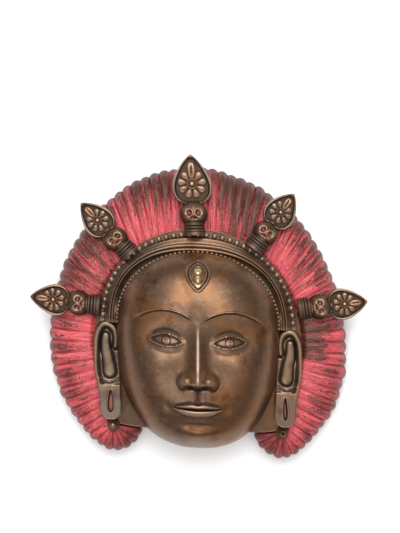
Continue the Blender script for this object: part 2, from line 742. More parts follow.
def hair_line(sizes, pleat, half_width, rise, squareness, curl_radius, pulls):
    """A line round the right half of the fan, by the pleat counted from the crown."""
    angle = math.pi / 2 * np.minimum(pleat, PLEATS_CROWN) / PLEATS_CROWN
    crown_x, crown_y = superellipse(angle, half_width, rise, squareness)
    down = np.clip((pleat - PLEATS_CROWN) / PLEATS_SIDE, 0.0, 1.0)
    start = Vector((half_width, sizes.middle))
    side_x, side_y = side_curve(down, start, curl_radius, pulls)
    curl_x, curl_y = curl_point(np.clip(pleat, PLEATS_SIDE_END, PLEATS_HALF), curl_radius)
    on_crown, on_side = pleat <= PLEATS_CROWN, pleat <= PLEATS_SIDE_END
    return (
        np.where(on_crown, crown_x, np.where(on_side, side_x, curl_x)),
        np.where(on_crown, crown_y + sizes.middle, np.where(on_side, side_y, curl_y)),
    )


def hair_edge(sizes, pleat):
    pulls = (Vector((0.0025, -0.044)), Vector((0.0205, 0.0190)))
    return hair_line(sizes, pleat, sizes.half_width, sizes.rise, 2.0, sizes.curl_radius, pulls)


def hair_root(sizes, pleat):
    pulls = (Vector((-0.0045, -0.026)), Vector((0.0070, 0.0200)))
    return hair_line(
        sizes, pleat, sizes.root_half_width, sizes.root_rise, 2.15, sizes.curl_root_radius, pulls
    )


def hair_point(sizes, pleat, out, relief=1.0, inset=0.0):
    """Points of the fan: pleat from -PLEATS_HALF to PLEATS_HALF, out from 0 at the root to 1."""
    number = np.minimum(np.abs(pleat), PLEATS_HALF)
    root_x, root_y = hair_root(sizes, number)
    edge_x, edge_y = hair_edge(sizes, number)
    away_x, away_y = edge_x - root_x, edge_y - root_y
    away = np.hypot(away_x, away_y)
    reach = np.clip(out, 0.0, 1.0)
    crest = relief * sizes.relief * np.abs(np.sin(math.pi * number)) ** 0.70
    outwards = 0.7 * crest * np.clip(out, 0.0, None) ** 3
    step = out + (outwards - inset * reach) / away
    drop = sizes.curl_drop * smoothstep(PLEATS_CROWN, PLEATS_SIDE_END, number)
    fall = (1 - reach**3.2) ** 0.62
    height = mix(sizes.rim_height, sizes.root_height - drop, fall) - inset
    height += crest * mix(0.35, 1.0, reach) * (1 - 0.5 * smoothstep(0.9, 1.0, reach))
    x = root_x + away_x * step
    return np.where(pleat < 0, -x, x), root_y + away_y * step, height


def hair_number(pleat, out):
    """The pleat's number at each place, with the wander of pleats modelled by hand."""
    wander = 0.16 * uneven(1, pleat * 0.9, out * 0.9, 0.0) * smoothstep(0.0, 0.35, out)
    return pleat + wander * (np.abs(pleat) < WANDER_END)


def hair_surface(sizes, pleat, out):
    """The outer face of the fan, with the small differences of pleats modelled by hand."""
    number = hair_number(pleat, out)
    x, y, z = hair_point(sizes, number, out)
    z = z - 0.0080 * smoothstep(0.0, 0.16, -out)
    own = np.floor(np.abs(number)) * np.sign(number)
    differs = uneven(2, own * 0.77, 0.0, own * 0.31)
    z = z + 0.0010 * differs * smoothstep(0.1, 0.8, out)
    reach = 1 + 0.009 * differs * smoothstep(0.85, 1.0, out)
    x, y = x * reach, sizes.middle + (y - sizes.middle) * reach
    inside = np.abs(np.sin(math.pi * number)) ** 0.5
    wander = uneven(3, own, out * 1.4, own * 0.5)
    lines = np.sin(2 * math.pi * (3.5 * number + 0.2 * wander))
    rough = uneven(4, number * 4.0, out * 3.0, 0.0)
    return x, y, z + inside * (sizes.strand * lines + 0.00025 * rough)


# How much of the paint is gone, by pleat: at the root and at the rim
WEAR = (
    (-39, 0.36, 0.45), (-33, 0.16, 0.38), (-24, 0.20, 0.38), (-21, 0.16, 0.44),
    (-19, 0.52, 0.68), (-13, 0.52, 0.70), (-11, 0.30, 0.62), (-9, 0.10, 0.46),
    (-7.6, 0.04, 0.52), (-6.4, 0.10, 0.84), (-3.4, 0.16, 0.84), (-2.4, 0.24, 0.50),
    (-1, 0.24, 0.50), (1, 0.10, 0.60), (2.4, 0.34, 0.86),
    (4.0, 0.62, 0.92), (6.4, 0.62, 0.92), (7.4, 0.20, 0.76), (8.8, 0.40, 0.62),
    (10, 0.24, 0.54), (11, 0.16, 0.60), (14, 0.34, 0.60), (17, 0.34, 0.46), (18.4, 0.85, 0.45),
    (21.5, 0.96, 0.20), (23, 0.90, 0.18), (24.2, 0.24, 0.26), (27, 0.20, 0.46),
    (33, 0.16, 0.52), (36, 0.52, 0.42), (39, 0.50, 0.55),
)


def paint_gone(pleat, out):
    """How much of the paint is worn off at each place of the fan, from 0 to 1."""
    pleats, roots, rims = zip(*WEAR)
    root, rim = (np.interp(pleat, pleats, column) for column in (roots, rims))
    return mix(root, rim, smoothstep(0.0, 1.0, out))


class MASK_OT_hair(Operator):
    """Makes the pleated fan of hair with its two curls"""

    bl_idname = "mask.hair"
    bl_label = "Hair"

    def execute(self, context):
        sizes = values(context.scene.mask_hair)

        def outwards(b):
            return 1 - (0.5 - b / 2) ** 1.8

        def from_band(b):
            return mix(HAIR_START, 1.0, outwards(b))

        def outer(a, b):
            return hair_surface(sizes, a * PLEATS_HALF, from_band(b))

        curl = sizes.curl_radius * (CURL_FROM - CURL_TO)
        end = PLEATS_HALF - WALL * PLEATS_CURL / curl

        def inner(a, b):
            pleat = a * end
            root_x, root_y = hair_root(sizes, np.abs(pleat))
            edge_x, edge_y = hair_edge(sizes, np.abs(pleat))
            start = 1.4 * WALL / np.hypot(edge_x - root_x, edge_y - root_y)
            return hair_point(sizes, pleat, mix(start, 1.0, outwards(b)), 0.0, WALL)

        def rim(vert):
            return NECK_UNDER_Z if vert[along] < -0.9 and abs(vert[across]) < 0.94 else 0.0

        bm = new_form()
        along, across = bm.verts.layers.float["along"], bm.verts.layers.float["across"]
        cells = 2 * PLEATS_HALF * sizes.cells
        hollow_relief(bm, (cells, sizes.rows, outer), (*HAIR_INSIDE_CELLS, inner), rim)
        verts = list(bm.verts)
        pleat = np.array([vert[across] for vert in verts]) * PLEATS_HALF
        out = from_band(np.array([vert[along] for vert in verts]))
        set_mark(bm, verts, "wear", paint_gone(pleat, out))
        set_mark(bm, verts, "across", hair_number(pleat, out))
        set_mark(bm, verts, "along", out)
        set_mark(bm, verts, "paint", [1.0 if vert.co.z > 0.0 else 0.0 for vert in verts])
        finish_piece(context, "hair", bm, paint_material(context), 0.0009, 14)
        return {"FINISHED"}


# Neck plate and band

def polar_arch(angle, half_width, up, down, squareness):
    """Points of a rounded outline, by their true direction from its middle."""
    across, along = np.sin(angle), np.cos(angle)
    tall = np.where(along > 0, up, down)
    reach = np.abs(across / half_width) ** squareness + np.abs(along / tall) ** squareness
    reach = reach ** (-1 / squareness)
    return across * reach, along * reach


def neck_top(x, y):
    """The plate behind the jaw, which rises a little towards the ears and the hair."""
    outwards = smoothstep(0.060, 0.100, np.abs(x))
    return NECK_Z + 0.0035 * outwards * smoothstep(-0.118, -0.100, y)


class MASK_OT_neck(Operator):
    """Makes the plate round the face that joins it to the ears and the hair"""

    bl_idname = "mask.neck"
    bl_label = "Neck plate"

    def execute(self, context):
        face = values(context.scene.mask_face)
        half_width, up, down, squareness = NECK_OUTLINE
        top_rows = 24
        rows = top_rows + 5

        def place(a, b):
            """Round the ring by a, and by b over its top, down its outside and back below."""
            row = np.rint((b + 1) / 2 * rows)
            angle = math.pi * a
            in_x, in_y = polar_arch(
                angle, face.half_width - WALL / 2, face.up - WALL / 2, face.down - WALL / 2,
                FACE_SQUARENESS,
            )
            in_y = in_y + face.widest
            inset = np.where((row == top_rows + 2) | (row == top_rows + 3), WALL, 0.0)
            out_x, out_y = polar_arch(
                angle, half_width - inset, up - inset, down - inset, squareness
            )
            out_y = out_y + NECK_MIDDLE_Y
            outwards = np.interp(row, (0, top_rows, top_rows + 3, top_rows + 4, rows), (0, 1, 1, 0, 0))
            x, y = mix(in_x, out_x, outwards), mix(in_y, out_y, outwards)
            exposed = (out_y < -0.108) & (np.abs(out_x) < 0.078)
            foot = np.where(exposed, 0.0, NECK_UNDER_Z)
            on_top = (row <= top_rows) | (row == rows)
            at_foot = (row == top_rows + 1) | (row == top_rows + 2)
            return x, y, np.where(on_top, neck_top(x, y), np.where(at_foot, foot, NECK_Z - WALL))

        bm = new_form()
        verts = add_sheet(bm, NECK_CELLS, rows, place)
        set_mark(bm, verts, "dull", 0.50)
        finish_piece(context, "neck", bm, bronze_material(context, "face bronze"), 0.003, 2)
        return {"FINISHED"}


def band_point(angle, out):
    """Points of the band: out is 0 on the ridge and 1 on the row of beads."""
    ridge_x, ridge_y = row_point(angle, RIDGE_ROW)
    bead_x, bead_y = row_point(angle, BEAD_ROW)
    return mix(ridge_x, bead_x, out), mix(ridge_y, bead_y, out)


# Where the band's profile starts and ends, and the share of its rows that join it to the face
RIDGE_FOOT = -0.31
LEDGE_FOOT = 1.40
JOIN_SHARE = 0.16


def band_height(out):
    """The band's profile: a double roll, a smooth band and the lower ledge of the beads."""
    height = 0.0474 - 0.0026 * smoothstep(0.22, 0.80, out)
    height = height + roll(out + 0.16, 0.15, 0.0034) + roll(out - 0.14, 0.15, 0.0030)
    height = height - 0.0034 * smoothstep(0.70, 0.86, out)
    return height - 0.0035 * smoothstep(1.30, 1.38, out)


class MASK_OT_band(Operator):
    """Makes the double ridge and the smooth band round the forehead, and its row of beads"""

    bl_idname = "mask.band"
    bl_label = "Band"

    def execute(self, context):
        sizes = values(context.scene.mask_band)
        face = values(context.scene.mask_face)

        def drop(angle):
            return sizes.side_drop * np.sin(angle) ** 2

        def place(a, b):
            """By a round the forehead, and by b from the fine beads over the ridge to the edge."""
            angle, share_up = a * BAND_END, (b + 1) / 2
            over = np.clip((share_up - JOIN_SHARE) / (1 - JOIN_SHARE), 0.0, 1.0)
            out = mix(RIDGE_FOOT, LEDGE_FOOT, over)
            x, y = band_point(angle, out)
            z = band_height(out) - drop(angle)
            up = np.clip(share_up / JOIN_SHARE, 0.0, 1.0)
            fine_x, fine_y = row_point(angle, FINE_ROW)
            on_face = face_height(face, fine_x, fine_y) - 0.0008
            return mix(fine_x, x, up), mix(fine_y, y, up), mix(on_face, z, smoothstep(0.0, 1.0, up))

        bm = new_form()
        verts = closed_relief(bm, *BAND_CELLS, place, SUNK_Z)
        share_up = np.array([(vert[bm.verts.layers.float["along"]] + 1) / 2 for vert in verts])
        set_mark(bm, verts, "dull", 0.45 * smoothstep(0.70, 0.80, share_up))
        set_mark(bm, verts, "bare", 0.40)
        on_ridge = smoothstep(0.16, 0.20, share_up) * falling(0.42, 0.47, share_up)
        set_mark(bm, verts, "gold", 0.14 * on_ridge)
        finish_piece(context, "band", bm, bronze_material(context, "band bronze"), 0.0011, 8)

        bm = new_form()
        for index in range(sizes.beads):
            angle = mix(-BEAD_END, BEAD_END, index / (sizes.beads - 1))
            x, y = band_point(angle, 1.0)
            height = sizes.bead_height - drop(angle)
            radius = sizes.bead_radius * (1 + 0.07 * math.sin(5.3 * index))
            flat = sized((x, y, height), radius, radius, radius * 0.95)
            ball(bm, flat, 16, 10)
        set_mark(bm, list(bm.verts), "bare", 0.8)
        set_mark(bm, list(bm.verts), "gold", 0.14)
        finish_piece(context, "beads", bm, bronze_material(context, "band bronze"), 0.0005, 4)
        return {"FINISHED"}


# Crown ornaments

def ornament_frame(sizes, side_drop, bead_angle, direction, outset):
    """A frame at the foot of an ornament: +Y outwards along it, +Z out of the face."""
    angle, turn = math.radians(bead_angle), math.radians(direction)
    x, y = band_point(angle, 1.0)
    foot = Vector((x, y, sizes.height - side_drop * math.sin(angle) ** 2))
    turned_out = Matrix.Translation(foot) @ Matrix.Rotation(-turn, 4, "Z")
    return turned_out @ Matrix.Translation((0, outset, 0))


def add_leaf(bm, matrix, sizes, leaf_length, leaf_width):
    """A leaf, round at the foot and drawn to a point, with a raised rim and a sunk ground."""
    sunk = []

    def place(a, b):
        along = 0.5 - 0.5 * np.cos(math.pi * (b + 1) / 2)
        half = leaf_width / 2 * np.sin(math.pi * along**0.62) ** 0.72
        half = np.maximum(half, 0.0)
        inwards = (1 - np.abs(a)) * half
        ends = np.minimum(along, (1 - along) * 0.75) * leaf_length
        edge = np.minimum(inwards, ends)
        height = -0.0012 * falling(0.0, 0.0010, edge)
        height -= sizes.leaf_recess * smoothstep(sizes.leaf_rim - 0.0009, sizes.leaf_rim + 0.0003, edge)
        sunk.append(smoothstep(sizes.leaf_rim - 0.0006, sizes.leaf_rim + 0.0002, edge))
        across_rim = np.clip(2 * edge / sizes.leaf_rim - 1, -1.0, 1.0)
        height += 0.0009 * np.sqrt(1 - across_rim**2)
        return a * half, along * leaf_length, height

    verts = add_sheet(bm, *LEAF_CELLS, place)
    set_mark(bm, verts, "dull", sunk[0])
    set_mark(bm, verts, "bare", 0.25 * (1 - sunk[0]))
    rim = drop_edge(bm, edge_of(verts), lambda vert: -sizes.leaf_thickness)
    filled = bmesh.ops.holes_fill(bm, edges=rim)["faces"]
    under = {vert for face in filled for vert in face.verts}
    bmesh.ops.transform(bm, matrix=matrix, verts=list(set(verts) | under))


def add_petal(bm, matrix, wide, long, high, crease):
    """A drop-shaped petal, narrow towards the heart, with a crease along the long one."""
    verts = ball(bm, Matrix.Identity(4), 16, 12)
    foot, tip = (0.75, 0.95) if crease else (0.45, 1.15)
    for vert in verts:
        vert.co.x *= mix(foot, tip, (vert.co.y + 1) / 2)
        if vert.co.z > 0:
            vert.co.z **= 0.6
        if crease and vert.co.z > 0:
            vert.co.z *= 0.60 + 0.40 * min(1.0, abs(vert.co.x) / 0.28)
    bmesh.ops.transform(bm, matrix=matrix @ Matrix.Diagonal((wide, long, high, 1.0)), verts=verts)
    return verts


def add_rosette(bm, matrix, sizes, leaf_length, leaf_width):
    """Eight short petals and a long one that points to the leaf's tip, round a ringed ball."""
    heart = 0.415 * leaf_length
    ground = matrix @ Matrix.Translation((0, heart, -sizes.leaf_recess))
    for index in range(PETALS):
        turn = 2 * math.pi * index / PETALS
        tip = index == 0
        long, wide, high = (0.172, 0.130, 0.0024) if tip else (0.100, 0.108, 0.0027)
        long, wide = long * leaf_length, wide * leaf_width
        reach = 0.125 * leaf_width + long
        at = ground @ Matrix.Rotation(-turn, 4, "Z") @ Matrix.Translation((0, reach, 0))
        verts = add_petal(bm, at, wide, long, high, tip)
        set_mark(bm, verts, "warm", 1.0 if tip else 0.3 if index in (1, PETALS - 1) else 0.0)
        set_mark(bm, verts, "bare", 0.0 if tip else 0.3)
    ring = 0.138 * leaf_width
    boss = ((0.0, -0.0004), (1.12, -0.0004), (1.06, 0.0019), (0.86, 0.0027), (0.66, 0.0022),
            (0.58, 0.0014), (0.0, 0.0014))
    turned(bm, [(wide * ring, height) for wide, height in boss], ground, 24)
    radius = 0.064 * leaf_width
    top = ground @ sized((0, 0, 0.0018), radius, radius, radius)
    set_mark(bm, ball(bm, top, 14, 10), "gold", 1.0)


def add_collar(bm, matrix, sizes):
    """The ringed neck below a skull, turned round the ornament's length."""
    rings, per_ring = 3, 7
    profile = [(0.0, -0.003), (sizes.collar_radius * 0.96, -0.003)]
    pitch = sizes.collar_length / rings
    for step in range(rings * per_ring + 1):
        along = step / per_ring
        swell = abs(math.sin(math.pi * along)) ** 0.6
        radius = sizes.collar_radius * mix(1.0, 0.90, along / rings) - 0.0011 * (1 - swell)
        profile.append((radius, along * pitch))
    profile.append((0.0, sizes.collar_length))
    upright = Matrix.Rotation(-math.pi / 2, 4, "X")
    set_mark(bm, turned(bm, profile, matrix @ upright, 40), "dull", 0.90)


def add_skull(bm, matrix, sizes, radius):
    """A ball skull that looks out of the face, with its knob that carries the leaf."""
    verts = ball(bm, Matrix.Identity(4), *SKULL_CELLS)
    spots = np.array([vert.co for vert in verts])
    x, y, z = spots[:, 0], spots[:, 1], spots[:, 2]
    side = np.abs(x)
    front = smoothstep(0.0, 0.3, z)

    def away(across, up):
        deep = math.sqrt(1 - across**2 - up**2)
        return np.sqrt((side - across) ** 2 + (y - up) ** 2 + (z - deep) ** 2)

    socket, nostril = away(0.36, 0.10), away(0.11, -0.28)
    grow = bowl(socket, 0.220, -0.24) + ridge(socket - 0.290, 0.075, 0.055)
    grow += bowl(nostril, 0.110, -0.15)
    grow += front * swelling(side, y, (0.44, -0.30), 0.16, 0.13, 0.070)
    grow += front * ridge(y + 0.58 + 0.12 * x * x, 0.05, -0.060) * (side < 0.62)
    grow += front * swelling(side, y, (0.72, -0.10), 0.15, 0.25, -0.035)
    shaped = spots * (1 + grow)[:, None]
    shaped[:, 1] *= 0.97
    shaped[:, 2] *= 0.95
    for vert, spot in zip(verts, shaped):
        vert.co = spot
    set_mark(bm, verts, "paint", bowl(np.minimum(socket / 0.15, nostril / 0.08), 1.0, 0.50))
    set_mark(bm, verts, "warm", 0.25 * smoothstep(0.35, 0.75, z))
    rubbed = ridge(socket - 0.290, 0.055, 1.0) + swelling(side, y, (0.44, -0.32), 0.14, 0.10, 1.0)
    set_mark(bm, verts, "gold", 0.38 * front * np.minimum(rubbed, 1.0))
    set_mark(bm, verts, "dull", 1 - 0.85 * smoothstep(0.35, 0.85, z))
    set_mark(bm, verts, "bare", 0.45 * smoothstep(0.45, 0.85, z))
    place = matrix @ Matrix.Translation((0, sizes.skull_out, 0)) @ Matrix.Scale(radius, 4)
    bmesh.ops.transform(bm, matrix=place, verts=verts)
    top = sizes.skull_out + 0.90 * radius
    end = sizes.leaf_start + 0.0035
    knob = ((0.0, 0.0), (0.0036, 0.0), (0.0030, 0.25), (0.0034, 0.45), (0.0034, 0.62),
            (0.0028, 0.80), (0.0030, 1.0), (0.0, 1.0))
    profile = [(wide, along * (end - top)) for wide, along in knob]
    upright = Matrix.Translation((0, top, -0.0012)) @ Matrix.Rotation(-math.pi / 2, 4, "X")
    turned(bm, profile, matrix @ upright, 20)


class MASK_OT_crown(Operator):
    """Makes the five crown ornaments: a ringed collar, a skull, and a leaf with a rosette"""

    bl_idname = "mask.crown"
    bl_label = "Crown ornaments"

    def execute(self, context):
        sizes = values(context.scene.mask_crown)
        side_drop = context.scene.mask_band.side_drop
        for name, (bead_angle, direction, outset, tall) in ORNAMENTS.items():
            matrix = ornament_frame(sizes, side_drop, bead_angle, direction, outset)
            leaf_length = sizes.tall_leaf_length if tall else sizes.leaf_length
            leaf_width = sizes.tall_leaf_width if tall else sizes.leaf_width
            leaf = matrix @ Matrix.Translation((0, sizes.leaf_start, 0.001))
            bm = new_form()
            add_collar(bm, matrix, sizes)
            add_skull(bm, matrix, sizes, sizes.tall_skull_radius if tall else sizes.skull_radius)
            add_leaf(bm, leaf, sizes, leaf_length, leaf_width)
            add_rosette(bm, leaf, sizes, leaf_length, leaf_width)
            material = bronze_material(context, "crown bronze")
            finish_piece(context, "ornament_" + name, bm, material, 0.00042, 6)
        return {"FINISHED"}


# Ears

EAR_TOP_Y = -0.0185
EAR_FOOT_Y = -0.0765
LOBE_END_Y = -0.1118
LOBE_MIDDLE = (0.0820, -0.0940)
HELIX_LINE = smooth_path((
    (0.0925, -0.0790), (0.0958, -0.0650), (0.0960, -0.0480), (0.0950, -0.0330),
    (0.0905, -0.0235), (0.0845, -0.0220), (0.0790, -0.0262), (0.0768, -0.0340),
    (0.0775, -0.0420),
), 6)
TONGUE_LINE = smooth_path((
    (0.0868, -0.0335), (0.0868, -0.0420), (0.0852, -0.0510), (0.0836, -0.0600), (0.0830, -0.0660),
), 6)
FOOT_LINE = smooth_path((
    (0.0925, -0.0700), (0.0895, -0.0742), (0.0840, -0.0760), (0.0785, -0.0748), (0.0750, -0.0720),
), 6)


def ear_middle(y):
    """The middle line of the ear and lobe, which comes in towards the jaw."""
    return np.interp(y, (-0.112, -0.094, -0.080, -0.060, -0.040, -0.018),
                     (0.0818, 0.0820, 0.0834, 0.0858, 0.0866, 0.0862))


def ear_half_width(sizes, y):
    ear = sizes.half_width * np.interp(y, (-0.080, -0.065, -0.040, -0.018), (0.92, 1.0, 0.98, 0.90))
    return mix(sizes.lobe_half_width, ear, smoothstep(-0.090, -0.076, y))


def ear_height(sizes, left, x, y):
    """The ear's relief: a rolled rim, a deep channel, a smooth tongue, and the flat lobe."""
    lobe = falling(EAR_FOOT_Y - 0.0035, EAR_FOOT_Y + 0.0005, y)
    height = mix(sizes.height, sizes.lobe_height, lobe)
    from_helix, run = line_distance(x, y, HELIX_LINE)
    width = sizes.helix * np.interp(run, (0.0, 0.15, 0.6, 0.9, 1.0), (0.7, 0.95, 1.0, 1.0, 0.85))
    height = height + (1 - lobe) * roll(from_helix, width, 0.0036)
    height = height - (1 - lobe) * ridge(from_helix - width - 0.0010, 0.0011, 0.0020)
    from_tongue, down = line_distance(x, y, TONGUE_LINE)
    half = np.interp(down, (0.0, 0.5, 1.0), (0.0038, 0.0050, 0.0060))
    height = height + (1 - lobe) * roll(from_tongue, half, 0.0026) * mix(0.7, 1.0, down)
    height = height - (1 - lobe) * ridge(from_tongue - half - 0.0006, 0.0009, 0.0016)
    from_foot = line_distance(x, y, FOOT_LINE)[0]
    height = height + ridge(from_foot, 0.0006, 0.0011)
    second = line_distance(x, y + 0.0024, FOOT_LINE)[0]
    height = height + ridge(second, 0.0006, 0.0009) - ridge(second + 0.0012, 0.0004, 0.0004)
    along = np.clip((y - LOBE_MIDDLE[1]) / (sizes.slot_length / 2), -1.0, 1.0)
    slot_half = sizes.slot_width / 2 * np.sqrt(1 - along * along) * (1 - 0.45 * along)
    slot_half = slot_half * (0.75 if not left else 1.0)
    edge = slot_half - np.abs(x - LOBE_MIDDLE[0])
    inside = smoothstep(-0.0002, 0.0006, edge)
    height = height - sizes.slot_depth * inside * (np.abs(along) < 1)
    return height + ridge(edge + 0.0009, 0.0006, 0.0004) * (np.abs(along) < 1), inside


class MASK_OT_ears(Operator):
    """Makes the ears with their slotted lobes, and the boss in the middle of each curl"""

    bl_idname = "mask.ears"
    bl_label = "Ears"

    def execute(self, context):
        sizes = values(context.scene.mask_ears)
        for side, suffix in ((1, "right"), (-1, "left")):
            left = side < 0
            depths = []

            def place(a, b):
                middle = (EAR_TOP_Y + LOBE_END_Y) / 2
                tall = (EAR_TOP_Y - LOBE_END_Y) / 2
                reach, angle = disc(a, b)
                u, v = superellipse(angle, 1.0, 1.0, 2.0)
                u, v = u * reach, v * reach
                y = middle + tall * v
                end = np.clip((tall - np.abs(y - middle)) / 0.0115, 0.0, 1.0)
                full = np.sqrt(np.clip(1 - (1 - end) ** 2, 0.0, 1.0))
                chord = np.sqrt(np.clip(1 - v * v, 1e-9, 1.0))
                across = np.clip(u / chord, -1.0, 1.0)
                half = ear_half_width(sizes, y) * full
                x = ear_middle(y) + across * half
                height, deep = ear_height(sizes, left, x, y)
                depths.append(deep)
                inwards = np.minimum((1 - np.abs(across)) * half, tall - np.abs(y - middle))
                height = height - 0.0012 * falling(0.0, 0.0014, inwards) ** 2
                return x, y, height

            bm = new_form()
            verts = closed_relief(bm, *EAR_CELLS, place, SUNK_Z)
            deep = depths[0]
            low_y = np.array([vert.co.y for vert in verts])
            on_lobe = falling(EAR_FOOT_Y - 0.012, EAR_FOOT_Y, low_y)
            set_mark(bm, verts, "bare", mix(0.60, 0.85 if left else 0.45, on_lobe) * (1 - deep))
            set_mark(bm, verts, "paint", deep * (0.09 if left else 0.02))
            rolled = np.array([vert.co.z - sizes.height for vert in verts])
            set_mark(bm, verts, "gold", 0.20 * (1 - on_lobe) * smoothstep(0.0010, 0.0030, rolled))
            if left:
                bmesh.ops.scale(bm, vec=(-1, 1, 1), verts=bm.verts)
            material = bronze_material(context, "ear bronze")
            finish_piece(context, "ear_" + suffix, bm, material, 0.0004, 7)

            radius, top = sizes.boss_radius, sizes.boss_height
            dome = [(0.0, top), (0.22, top - 0.0001), (0.42, top - 0.0007), (0.58, top - 0.0018)]
            worn = [(0.0, top - 0.0030), (0.18, top - 0.0026), (0.30, top - 0.0006), (0.44, top),
                    (0.58, top - 0.0010)]
            edge = [(0.62, top - 0.0036), (0.78, top - 0.0042), (1.0, top - 0.0052), (1.15, 0.0268),
                    (1.15, 0.0), (0.0, 0.0)]
            rows = (dome if left else worn) + edge
            profile = [(share_out * radius, height) for share_out, height in rows]
            bm = new_form()
            centre = Vector((side * CURL_CENTRE.x, CURL_CENTRE.y))
            verts = turned(bm, profile, Matrix.Translation((*centre, 0)), 28)
            near = np.array([(v.co.xy - centre).length for v in verts])
            set_mark(bm, verts, "warm", (0.5 if left else 0.1) * (near < 0.65 * radius))
            set_mark(bm, verts, "dull", np.where(near < 0.65 * radius, 0.15, 0.7))
            finish_piece(context, "boss_" + suffix, bm, material, 0.0005, 3)
        return {"FINISHED"}


# Materials

class Nodes:
    """Adds shader nodes and joins them, so that a material reads as a list of steps."""

    def __init__(self, tree):
        self.tree = tree

    def add(self, kind, **settings):
        node = self.tree.nodes.new("ShaderNode" + kind)
        for key, value in settings.items():
            setattr(node, key, value)
        return node

    def feed(self, socket, value):
        if isinstance(value, bpy.types.NodeSocket):
            self.tree.links.new(value, socket)
        elif isinstance(value, tuple) and len(value) == 3 and socket.type == "RGBA":
            socket.default_value = (*value, 1.0)
        else:
            socket.default_value = value

    def mark(self, name):
        return self.add("Attribute", attribute_name=name).outputs["Fac"]

    def math(self, operation, *numbers, clamp=False):
        node = self.add("Math", operation=operation, use_clamp=clamp)
        for socket, number in zip(node.inputs, numbers):
            self.feed(socket, number)
        return node.outputs[0]

    def plus(self, total, *terms):
        for term in terms:
            total = self.math("ADD", total, term)
        return total

    def minus(self, a, b):
        return self.math("SUBTRACT", a, b)

    def times(self, a, b):
        return self.math("MULTIPLY", a, b)

    def most(self, a, b):
        return self.math("MAXIMUM", a, b)

    def ramp(self, value, low, high, to_low=0.0, to_high=1.0):
        node = self.add("MapRange", interpolation_type="SMOOTHSTEP")
        for socket, given in zip(("Value", "From Min", "From Max", "To Min", "To Max"),
                                 (value, low, high, to_low, to_high)):
            self.feed(node.inputs[socket], given)
        return node.outputs["Result"]

    def blend(self, amount, a, b):
        node = self.add("Mix", data_type="RGBA", clamp_factor=True)
        self.feed(node.inputs[0], amount)
        self.feed(node.inputs[6], a)
        self.feed(node.inputs[7], b)
        return node.outputs[2]

    def grain(self, where, scale, detail=3.0, roughness=0.55, distortion=0.0):
        node = self.add("TexNoise")
        self.feed(node.inputs["Vector"], where)
        self.feed(node.inputs["Scale"], scale)
        self.feed(node.inputs["Detail"], detail)
        self.feed(node.inputs["Roughness"], roughness)
        self.feed(node.inputs["Distortion"], distortion)
        return node.outputs["Fac"]

    def bump(self, height, distance, strength=1.0, normal=None):
        node = self.add("Bump")
        self.feed(node.inputs["Strength"], strength)
        self.feed(node.inputs["Distance"], distance)
        self.feed(node.inputs["Height"], height)
        if normal is not None:
            self.feed(node.inputs["Normal"], normal)
        return node.outputs["Normal"]


def new_material(name):
    material = bpy.data.materials.new(name)
    material.use_nodes = True
    nodes = Nodes(material.node_tree)
    shader = material.node_tree.nodes["Principled BSDF"]
    return material, nodes, shader


def bronze_material(context, name):
    """Brown patinated bronze, dark in the hollows and rubbed bright on the high places."""
    if name in bpy.data.materials:
        return bpy.data.materials[name]
    tone = palette(context)
    material, n, shader = new_material(name)
    where = n.add("TexCoord").outputs["Object"]
    hollow = n.mark("hollow")
    broad = n.grain(where, 16.0, 3.0, 0.55, 0.6)
    patchy = n.grain(where, 55.0, 4.0, 0.62)
    fine = n.grain(where, 420.0, 3.0, 0.6)
    worn_places = n.plus(n.times(broad, 0.6), n.times(patchy, 0.4))
    base = n.blend(n.ramp(worn_places, 0.44, 0.58), tone.bronze, tone.bronze_warm)
    base = n.blend(n.ramp(patchy, 0.50, 0.72, 0.0, 0.55), base, tone.bronze_dark)
    scuffs = n.ramp(n.grain(where, 190.0, 6.0, 0.72, 0.5), 0.48, 0.68)
    scuffs = n.times(scuffs, n.ramp(broad, 0.60, 0.44))
    base = n.blend(n.times(scuffs, 0.18), base, tone.bronze_rubbed)
    base = n.blend(n.times(n.mark("warm"), 0.8), base, tone.bronze_warm)
    grey = n.blend(n.ramp(patchy, 0.46, 0.66, 0.0, 0.6), tone.grey_metal, tone.bronze_dark)
    base = n.blend(n.mark("bare"), base, grey)
    dull = n.mark("dull")
    base = n.blend(n.times(dull, 0.82), base, tone.bronze_dark)
    high = n.ramp(n.times(hollow, -1.0), 0.15, 0.95, 0.0, 0.42)
    high = n.times(high, n.minus(1.0, n.times(dull, 0.8)))
    base = n.blend(high, base, tone.bronze_rubbed)
    base = n.blend(n.times(n.mark("gold"), 0.75), base, tone.gilt)
    low = n.ramp(hollow, 0.06, 0.70, 0.0, 0.90)
    base = n.blend(low, base, tone.bronze_dark)
    painted = n.times(n.mark("paint"), n.ramp(fine, 0.30, 0.52))
    base = n.blend(painted, base, tone.paint)
    n.feed(shader.inputs["Base Color"], base)
    metal = n.minus(n.minus(0.82, n.times(low, 0.10)), n.times(dull, 0.15))
    metal = n.math("SUBTRACT", metal, painted, clamp=True)
    n.feed(shader.inputs["Metallic"], metal)
    rough = n.plus(0.26, n.times(patchy, 0.16), n.times(low, 0.22), n.times(dull, 0.15))
    rough = n.math("ADD", rough, n.times(painted, 0.25), clamp=True)
    n.feed(shader.inputs["Roughness"], rough)
    shader.inputs["Coat Weight"].default_value = 0.06
    shader.inputs["Coat Roughness"].default_value = 0.30
    texture = n.plus(n.times(fine, 0.4), n.times(patchy, 0.6))
    n.feed(shader.inputs["Normal"], n.bump(texture, 0.0009, 0.35))
    return material


